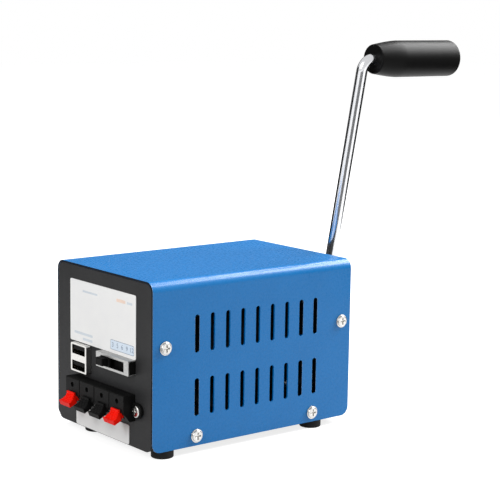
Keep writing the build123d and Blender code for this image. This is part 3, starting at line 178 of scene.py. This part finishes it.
def blend(material, factor, first, second):
    """Mixes two colours, given as hex codes or as sockets."""
    mixed = add_node(
        material,
        "ShaderNodeMix",
        settings=(("data_type", "RGBA"),),
        links=((0, factor),),
    )
    for socket, tone in ((6, first), (7, second)):
        if isinstance(tone, str):
            mixed.inputs[socket].default_value = colour(tone)
        else:
            material.node_tree.links.new(tone, mixed.inputs[socket])
    return mixed.outputs[2]


def set_bump(material, shader, height, depth_mm, strength=1.0):
    """Raises the surface by depth_mm where the height is 1."""
    bump = add_node(
        material,
        "ShaderNodeBump",
        values=(("Distance", depth_mm * MM), ("Strength", strength)),
        links=(("Height", height),),
    )
    material.node_tree.links.new(bump.outputs["Normal"], shader.inputs["Normal"])


def link(material, source, shader, socket):
    material.node_tree.links.new(source, shader.inputs[socket])


# ------------------------------------------------------------------ materials


def powder_coat(name, first, second, roughness, specular):
    """Powder coated steel: a baked coat with orange peel about 1.4 mm across and a faint cloudiness."""
    material, shader = new_material(name, Specular_IOR_Level=specular)
    place = object_place(material)
    peel = grains(material, place, 1.4)
    cloud = grains(material, place, 22.0, detail=3.0)
    tone = between(material, cloud, 0.3, 0.7, 0.0, 1.0)
    link(material, blend(material, tone, first, second), shader, "Base Color")
    rough = between(material, peel, 0.3, 0.7, roughness - 0.03, roughness + 0.03)
    link(material, rough, shader, "Roughness")
    set_bump(material, shader, peel, 0.004)
    return material


def plated_steel(name, first, second, roughness, grain_mm, stretch=(1.0, 1.0, 1.0)):
    """Plated or polished steel: a mirror-like metal, softened by fine rubbed marks."""
    material, shader = new_material(name, Metallic=1.0)
    place = object_place(material, stretch=stretch)
    marks = grains(material, place, grain_mm, detail=3.0)
    tone = between(material, marks, 0.35, 0.65, 0.0, 1.0)
    link(material, blend(material, tone, first, second), shader, "Base Color")
    rough = between(material, marks, 0.3, 0.7, roughness * 0.8, roughness * 1.2)
    link(material, rough, shader, "Roughness")
    set_bump(material, shader, marks, 0.002)
    return material


def moulded_plastic(name, first, second, roughness, texture_mm, depth_mm, specular=0.5):
    """Moulded plastic: an even colour under the fine spark-eroded texture of its mould."""
    material, shader = new_material(name, Specular_IOR_Level=specular)
    place = object_place(material)
    texture = grains(material, place, texture_mm)
    cloud = grains(material, place, 9.0)
    tone = between(material, cloud, 0.3, 0.7, 0.0, 1.0)
    link(material, blend(material, tone, first, second), shader, "Base Color")
    rough = between(material, texture, 0.3, 0.7, roughness - 0.04, roughness + 0.04)
    link(material, rough, shader, "Roughness")
    set_bump(material, shader, texture, depth_mm)
    return material


def spangled_zinc(name, first, second):
    """Zinc plated sheet: flat crystals about 2.5 mm across, each a slightly other grey."""
    material, shader = new_material(name, Metallic=1.0)
    place = object_place(material)
    crystals = add_node(
        material,
        "ShaderNodeTexVoronoi",
        values=(("Scale", 1.0 / (2.5 * MM)),),
        links=(("Vector", place),),
    )
    grey = add_node(material, "ShaderNodeRGBToBW", links=(("Color", crystals.outputs["Color"]),))
    link(material, blend(material, grey.outputs["Val"], first, second), shader, "Base Color")
    rough = between(material, grey.outputs["Val"], 0.0, 1.0, 0.28, 0.42)
    link(material, rough, shader, "Roughness")
    return material


def wound_copper(name):
    """Enamelled copper wire 0.5 mm thick, laid side by side."""
    material, shader = new_material(name, Metallic=0.7, Roughness=0.3)
    place = object_place(material)
    turns = add_node(
        material,
        "ShaderNodeTexWave",
        settings=(("bands_direction", "Y"),),
        values=(("Scale", 1.0 / (20 * 0.5 * MM)), ("Distortion", 0.6)),
        links=(("Vector", place),),
    )
    link(material, blend(material, turns.outputs["Fac"], "6E3010", "C9742E"), shader, "Base Color")
    set_bump(material, shader, turns.outputs["Fac"], 0.1)
    return material


def solder_mask(name):
    """Green solder mask over copper tracks that run square to each other."""
    material, shader = new_material(name, Roughness=0.3)
    place = object_place(material)
    tracks = add_node(
        material,
        "ShaderNodeTexBrick",
        settings=(("offset", 0.37), ("squash", 0.7)),
        values=(
            ("Scale", 1.0 / (4.0 * MM)),
            ("Color1", colour("1C5A33")),
            ("Color2", colour("1F6338")),
            ("Mortar", colour("2F7C4B")),
            ("Mortar Size", 0.08),
        ),
        links=(("Vector", place),),
    )
    link(material, tracks.outputs["Color"], shader, "Base Color")
    set_bump(material, shader, tracks.outputs["Fac"], 0.035)
    return material


def printed_film(name, first, second, roughness):
    """Matt film or print on it, with the faint unevenness of a film that is glued down."""
    material, shader = new_material(name, Specular_IOR_Level=0.2)
    place = object_place(material)
    ripple = grains(material, place, 14.0)
    grain = grains(material, place, 0.3)
    tone = between(material, ripple, 0.3, 0.7, 0.0, 1.0)
    link(material, blend(material, tone, first, second), shader, "Base Color")
    rough = between(material, grain, 0.3, 0.7, roughness - 0.05, roughness + 0.05)
    link(material, rough, shader, "Roughness")
    set_bump(material, shader, grain, 0.004)
    return material


SURFACES = {
    "blue_paint": powder_coat("blue_powder_coat", "066AAC", "086DB0", 0.28, 0.3),
    "black_paint": powder_coat("black_powder_coat", "242425", "2A2A2B", 0.5, 0.15),
    "nickel_screw": plated_steel("bright_nickel_plate", "CDCCC9", "BFBDBA", 0.18, 0.8),
    "chrome_rod": plated_steel("polished_chrome", "D6D7D9", "CBCCCF", 0.17, 0.7),
    "steel": plated_steel("turned_steel", "A7AAAD", "8D9194", 0.28, 0.5),
    "bronze": plated_steel("sintered_bronze", "A9803F", "8E672E", 0.4, 0.4),
    "gold_contact": plated_steel("gold_flash", "D3AF55", "C39B42", 0.22, 0.6),
    "zinc_steel": spangled_zinc("zinc_plated_sheet", "DADBDC", "E3E4E5"),
    "aluminium": plated_steel("extruded_aluminium", "C2C4C6", "B4B6B9", 0.3, 0.4, (3.0, 3.0, 0.2)),
    "black_rubber": moulded_plastic("moulded_rubber", "101010", "161616", 0.75, 0.5, 0.02, 0.2),
    "black_plastic": moulded_plastic("black_abs", "0D0D0D", "111111", 0.5, 0.35, 0.01, 0.07),
    "grip_plastic": moulded_plastic("black_phenolic", "070707", "0B0B0B", 0.42, 0.6, 0.006, 0.08),
    "red_plastic": moulded_plastic("red_abs", "EC1502", "E41201", 0.4, 0.35, 0.006, 0.08),
    "white_plastic": moulded_plastic("white_nylon", "EFEFEC", "E6E6E2", 0.35, 0.35, 0.005),
    "component_black": moulded_plastic("epoxy_case", "1B1B1C", "232324", 0.5, 0.3, 0.01),
    "carbon": moulded_plastic("pressed_carbon", "222223", "2C2C2D", 0.6, 0.2, 0.01),
    "magnet": moulded_plastic("ground_ferrite", "323233", "3E3E40", 0.5, 0.3, 0.01),
    "copper_wire": wound_copper("enamelled_copper_wire"),
    "board": solder_mask("green_solder_mask"),
    "label_film": printed_film("white_label_film", "E3E3E3", "E7E7E6", 0.55),
}
PRINTS = {
    "faint": printed_film("grey_blue_print", "C3CBD3", "CDD4DA", 0.5),
    "warm": printed_film("pale_orange_print", "E6CDBD", "EAD4C6", 0.5),
    "pale": printed_film("pale_blue_print", "C9D8E8", "D2DEEA", 0.5),
    "dark": printed_film("slate_print", "76859A", "6C7B90", 0.5),
}
SOFT_BLACK = moulded_plastic("soft_black_abs", "060606", "090909", 0.6, 0.35, 0.01, 0.1)
# Painted shade: a near-black navy coat for the cover's cut edges, standing in for the shaded gap beside
# the front panel.
GAP_SHADE_COAT = powder_coat("blue_coat_painted_gap_shade", "020812", "030C1A", 0.5, 0.1)
# Painted highlight: a pale blue coat for the cover's rounded upright edges, standing in for the light
# they catch.
EDGE_HIGHLIGHT_COAT = powder_coat("blue_coat_painted_edge_highlight", "D6EAF8", "C2DFF4", 0.35, 0.4)

SLOT_OF = {entry["node"]: entry["material_slot"] for entry in frame["record"]["subparts"]}
BODY_OF = {
    node: body for body, nodes in frame["record"]["behaviour"]["bodies"].items() for node in nodes
}
BRUSHED_FRAME = plated_steel("brushed_nickel", "B8B8B7", "A8A8A7", 0.42, 0.5, (0.2, 3.0, 3.0))
BLACK_OXIDE = plated_steel("black_oxide_steel", "1A1B1D", "232427", 0.5, 0.5)
OWN_FINISH = {
    "crank_wheel": BLACK_OXIDE,
    "lay_wheel": BLACK_OXIDE,
    "lay_pinion": BLACK_OXIDE,
    "motor_pinion": BLACK_OXIDE,
    "gear_pillars": BLACK_OXIDE,
    "selector_knob": SOFT_BLACK,
    "selector_body": SOFT_BLACK,
    "selector_frame": BRUSHED_FRAME,
    "port_inserts": SOFT_BLACK,
}


def surface_of(node_name):
    return OWN_FINISH.get(node_name, SURFACES[SLOT_OF[node_name]])


def dress_nodes():
    """Gives every node the finish of its own material slot."""
    for name, node in frame["nodes"].items():
        node.data.materials.clear()
        node.data.materials.append(surface_of(name))


# ------------------------------------------------------------------ eased edges

# How far each visible node's sharp edges are rounded, in millimetres
EASED_EDGES = {
    "cover": 0.46,
    "chassis": 0.3,
    "cover_screws": 0.08,
    "feet": 0.1,
    "port_shell": 0.22,
    "port_inserts": 0.12,
    "selector_frame": 0.12,
    "selector_knob": 0.15,
    "selector_body": 0.1,
    "terminal_housing": 0.18,
    "terminal_screws": 0.08,
    "terminal_lever_1": 0.2,
    "terminal_lever_2": 0.2,
    "terminal_lever_3": 0.2,
    "terminal_lever_4": 0.2,
    "crank_hub": 0.2,
    "crank_rod": 0.15,
    "crank_shaft": 0.15,
    "grip": 0.15,
    "grip_cap": 0.15,
    "grip_screw": 0.1,
    "panel_bush": 0.15,
}
SHARP_EDGE = math.radians(28)
SMOOTH_EDGE = math.radians(40)
FLAT_ENOUGH = math.radians(0.5)
SAME_POINT = 0.002 * MM
# Faces beyond this distance in front of and behind the middle are at the sheet's ends
SHEET_END = cad_box[1][1] * 0.2
# Faces at the sheet's ends turned this far lengthways get the painted shade; rounder faces turned
# sideways get the painted highlight.
SHADE_PAINTED_FACING = 0.75
ROUNDED_FACING = 0.2
UPRIGHT_FACING = 0.5


def select_only(piece):
    bpy.ops.object.select_all(action="DESELECT")
    piece.select_set(True)
    bpy.context.view_layer.objects.active = piece


def paint_edge_shade_and_highlight(piece):
    """Paints shade on the sheet's sheared ends, a dark coat standing in for the shaded gap beside the
    panel, and paints a pale highlight on their rounded upright corners.
    """
    piece.data.materials.append(GAP_SHADE_COAT)
    piece.data.materials.append(EDGE_HIGHLIGHT_COAT)
    for face in piece.data.polygons:
        sideways, lengthways = abs(face.normal.x), abs(face.normal.y)
        if abs(face.center.y) <= SHEET_END:
            continue
        # Front- and rear-facing cut edges get the painted shade.
        if lengthways > SHADE_PAINTED_FACING:
            face.material_index = 1
        # Rounded upright corners get the painted highlight.
        elif lengthways > ROUNDED_FACING and sideways > UPRIGHT_FACING:
            face.material_index = 2


def ease_edges(node_name, width_mm):
    """Puts a copy of a node in its place, with its sharp edges rounded as by a press or a mould."""
    copied = frame["nodes"][node_name].data.copy()
    piece = bpy.data.objects.new(node_name + "_eased", copied)
    bpy.context.scene.collection.objects.link(piece)
    select_only(piece)
    bpy.ops.object.mode_set(mode="EDIT")
    bpy.ops.mesh.select_all(action="SELECT")
    bpy.ops.mesh.remove_doubles(threshold=SAME_POINT)
    bpy.ops.mesh.dissolve_limited(angle_limit=FLAT_ENOUGH)
    bpy.ops.object.mode_set(mode="OBJECT")
    rounding = piece.modifiers.new("rounding", "BEVEL")
    rounding.width = width_mm * MM
    rounding.segments = 3
    rounding.limit_method = "ANGLE"
    rounding.angle_limit = SHARP_EDGE
    rounding.miter_outer = "MITER_ARC"
    bpy.ops.object.modifier_apply(modifier="rounding")
    bpy.ops.object.shade_smooth_by_angle(angle=SMOOTH_EDGE)
    flats = piece.modifiers.new("flats", "WEIGHTED_NORMAL")
    flats.keep_sharp = True
    flats.weight = 100
    bpy.ops.object.modifier_apply(modifier="flats")
    # The cover's cut edges get painted shade and a painted highlight.
    if node_name == "cover":
        paint_edge_shade_and_highlight(piece)
    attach(piece, BODY_OF[node_name])
    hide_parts(node_name)
    return piece


# ------------------------------------------------------------------ scale over the selector

SCALE_LEFT = 6.9
SCALE_RIGHT = 27.6
SCALE_BOTTOM = 45.6
SCALE_TOP = 50.6
SCALE_LINE = 0.22
SCALE_NUMBERS = ("3", "5", "6", "9", "12")
NUMBER_HEIGHT = 3.4
PRINT_THICKNESS = 0.02
FOOT_HEIGHT = 4.0
LABEL_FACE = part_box("upper_label")[0][1] / MM
UPRIGHT = Matrix.Rotation(math.radians(90), 4, "X")


def print_plate(name, left, right, bottom, top, layer, tone):
    """A printed patch on the upper label; layer counts how many prints lie under it."""
    bpy.ops.object.select_all(action="DESELECT")
    bpy.ops.mesh.primitive_plane_add(size=1.0)
    plate = bpy.context.object
    plate.name = name
    bpy.ops.object.mode_set(mode="EDIT")
    bpy.ops.mesh.select_all(action="SELECT")
    bpy.ops.mesh.bevel(offset=0.08, segments=4, affect="VERTICES")
    bpy.ops.object.mode_set(mode="OBJECT")
    face_y = LABEL_FACE - (layer + 1) * PRINT_THICKNESS
    middle = Vector(((left + right) / 2, face_y, (bottom + top) / 2 + FOOT_HEIGHT)) * MM
    stretch = Matrix.Diagonal(((right - left) * MM, (top - bottom) * MM, 1.0, 1.0))
    plate.data.transform(Matrix.Translation(middle) @ UPRIGHT @ stretch)
    finish_print(plate, tone)
    return plate


def finish_print(piece, tone):
    """Gives a flat print its thickness, its ink and its place on the case."""
    select_only(piece)
    thickness = piece.modifiers.new("thickness", "SOLIDIFY")
    thickness.thickness = PRINT_THICKNESS * MM
    thickness.offset = -1.0
    bpy.ops.object.modifier_apply(modifier="thickness")
    piece.data.materials.clear()
    piece.data.materials.append(PRINTS[tone])
    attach(piece, "case")


# Slim plain bars in the label's corners: name, left, right, bottom, top above the base, and ink
LABEL_BARS = (
    ("bar_upper_left", -18.6, -5.0, 70.3, 71.3, "faint"),
    ("bar_upper_right", 12.2, 20.0, 70.3, 71.9, "warm"),
    ("bar_upper_right_short", 21.4, 26.0, 70.4, 71.6, "faint"),
    ("bar_lower_left", -26.4, -9.4, 48.0, 49.3, "faint"),
    ("bar_lower_left_short", -18.5, -9.6, 45.4, 46.7, "faint"),
)


def print_bars():
    """The label's few faint marks, as plain bars of ink."""
    for name, left, right, bottom, top, tone in LABEL_BARS:
        print_plate(name, left, right, bottom, top, 0, tone)


def print_scale():
    """The selector's scale: plain numbers in a framed patch, one over each of the knob's places."""
    print_plate("scale_frame", SCALE_LEFT, SCALE_RIGHT, SCALE_BOTTOM, SCALE_TOP, 0, "dark")
    print_plate(
        "scale_patch",
        SCALE_LEFT + SCALE_LINE,
        SCALE_RIGHT - SCALE_LINE,
        SCALE_BOTTOM + SCALE_LINE,
        SCALE_TOP - SCALE_LINE,
        1,
        "pale",
    )
    step = (SCALE_RIGHT - SCALE_LEFT) / len(SCALE_NUMBERS)
    for place, number in enumerate(SCALE_NUMBERS):
        bpy.ops.object.select_all(action="DESELECT")
        bpy.ops.object.text_add()
        text = bpy.context.object
        text.data.body = number
        text.data.align_x = "CENTER"
        text.data.align_y = "CENTER"
        text.data.size = NUMBER_HEIGHT * MM
        bpy.ops.object.convert(target="MESH")
        number_piece = bpy.context.object
        number_piece.name = "scale_number_" + str(place + 1)
        face_y = LABEL_FACE - 3 * PRINT_THICKNESS
        middle = Vector(
            (
                SCALE_LEFT + (place + 0.5) * step,
                face_y,
                (SCALE_BOTTOM + SCALE_TOP) / 2 + FOOT_HEIGHT,
            )
        )
        number_piece.data.transform(Matrix.Translation(middle * MM) @ UPRIGHT)
        finish_print(number_piece, "dark")


# ------------------------------------------------------------------ studio


ROOM_LEVEL = 0.5
FLOOR_SIZE = 8.0
FLOOR_GREY = 0.4
FLOOR_GLOW = 0.8
CASE_MIDDLE = (0, 0, 0.08)
CASE_LOW = (0, 0, 0.05)
ROD_MIDDLE = (0.03, 0.085, 0.25)


def plain_surface(name, code):
    """A plain matt studio surface."""
    material, shader = new_material(name, Roughness=1.0, Specular_IOR_Level=0.0)
    shader.inputs["Base Color"].default_value = colour(code)
    return material


def white_for_the_eye(owner, level):
    """The level for the rays that end in the camera or in gloss, and nothing for the lighting."""
    path = add_node(owner, "ShaderNodeLightPath")
    seen = path.outputs["Is Camera Ray"]
    for ray in ("Is Glossy Ray", "Is Transmission Ray"):
        seen = add_node(
            owner,
            "ShaderNodeMath",
            settings=(("operation", "MAXIMUM"),),
            links=((0, seen), (1, path.outputs[ray])),
        ).outputs[0]
    return add_node(
        owner,
        "ShaderNodeMath",
        settings=(("operation", "MULTIPLY"),),
        values=((1, level),),
        links=((0, seen),),
    ).outputs[0]


def add_card(name, place, target, width, height, code):
    """A dark card that only gloss sees, so that polished metal has something dark to show."""
    bpy.ops.object.select_all(action="DESELECT")
    bpy.ops.mesh.primitive_plane_add(size=1.0)
    card = bpy.context.object
    card.name = name
    facing = (Vector(target) - Vector(place)).to_track_quat("Z", "Y").to_matrix().to_4x4()
    size = Matrix.Diagonal((width, height, 1.0, 1.0))
    card.data.transform(Matrix.Translation(place) @ facing @ size)
    card.data.materials.append(plain_surface(name + "_cloth", code))
    card.visible_camera = False
    card.visible_diffuse = False
    card.visible_transmission = False
    card.visible_shadow = False
    return card


CARD_OVER_FLOOR = 0.002


def add_floor_card(name, corners, code):
    """A dark patch of floor that only gloss sees; its corners run left to right, near row first."""
    card = add_card(name, (0, 0, 0), (0, 0, 1), 1.0, 1.0, code)
    for vertex, (x, y) in zip(card.data.vertices, corners):
        vertex.co = (x, y, CARD_OVER_FLOOR)


def add_lamp(name, place, target, width, height, watts):
    """A soft box: a rectangular lamp that faces the target."""
    lamp = bpy.data.lights.new(name, "AREA")
    lamp.shape = "RECTANGLE"
    lamp.size = width
    lamp.size_y = height
    lamp.energy = watts
    holder = bpy.data.objects.new(name, lamp)
    facing = (Vector(target) - Vector(place)).to_track_quat("-Z", "Y").to_matrix().to_4x4()
    holder.matrix_world = Matrix.Translation(place) @ facing
    bpy.context.scene.collection.objects.link(holder)
    return holder


def set_world(room_level):
    """White to the camera and to gloss, and a softer white for what it lights."""
    world = bpy.data.worlds.new("studio")
    world.use_nodes = True
    bpy.context.scene.world = world
    background = world.node_tree.nodes["Background"]
    background.inputs["Color"].default_value = (1, 1, 1, 1)
    total = add_node(
        world,
        "ShaderNodeMath",
        settings=(("operation", "ADD"),),
        values=((1, room_level),),
        links=((0, white_for_the_eye(world, 1.0 - room_level)),),
    )
    link(world, total.outputs[0], background, "Strength")


def add_floor():
    """A pale floor that shows plain white and keeps the shadow of the object."""
    bpy.ops.object.select_all(action="DESELECT")
    bpy.ops.mesh.primitive_plane_add(size=FLOOR_SIZE)
    floor = bpy.context.object
    floor.name = "floor"
    material, shader = new_material("pale_floor", Roughness=1.0, Specular_IOR_Level=0.0)
    shader.inputs["Base Color"].default_value = (FLOOR_GREY, FLOOR_GREY, FLOOR_GREY, 1.0)
    shader.inputs["Emission Color"].default_value = (1, 1, 1, 1)
    link(material, white_for_the_eye(material, FLOOR_GLOW), shader, "Emission Strength")
    floor.data.materials.append(material)


place_camera()
dress_nodes()
for node_name, edge_width in EASED_EDGES.items():
    ease_edges(node_name, edge_width)
print_scale()
print_bars()

bpy.context.scene.view_settings.view_transform = "Standard"
set_world(ROOM_LEVEL)
add_floor()
# Soft boxes: name, place, target, width, height, watts
for soft_box in (
    ("top_rear_box", (0.12, 1.15, 0.95), CASE_MIDDLE, 1.1, 0.95, 54),
    ("front_box", (0.3, -1.5, 0.95), CASE_LOW, 1.1, 1.1, 19),
):
    add_lamp(*soft_box)

# Upright cards: name, place, target, width, height, grey
for upright_card in (
    ("rear_card", (-0.43, 0.42, 0.36), (0, 0, 0.36), 2.2, 0.5, "7E7E7E"),
    ("rear_low_card", (-0.43, 0.42, 0.05), CASE_LOW, 2.2, 0.12, "141414"),
    ("left_wing", (-0.76, -0.53, 0.25), ROD_MIDDLE, 0.8, 0.5, "181818"),
    ("right_wing", (0.53, 0.92, 0.25), ROD_MIDDLE, 0.75, 0.5, "181818"),
):
    add_card(*upright_card)

# Cards on the floor: name, corners, grey
for floor_card in (
    ("front_card", ((0.096, -0.075), (0.2, 0.059), (0.315, -0.603), (0.765, -0.035)), "626262"),
    ("right_floor_card", ((-0.16, 0.5), (0.2, 0.27), (-0.45, 1.3), (0.95, 0.8)), "141414"),
    ("left_floor_card", ((-0.36, -0.4), (-0.42, 0.1), (-0.9, -0.9), (-1.0, 0.1)), "141414"),
):
    add_floor_card(*floor_card)
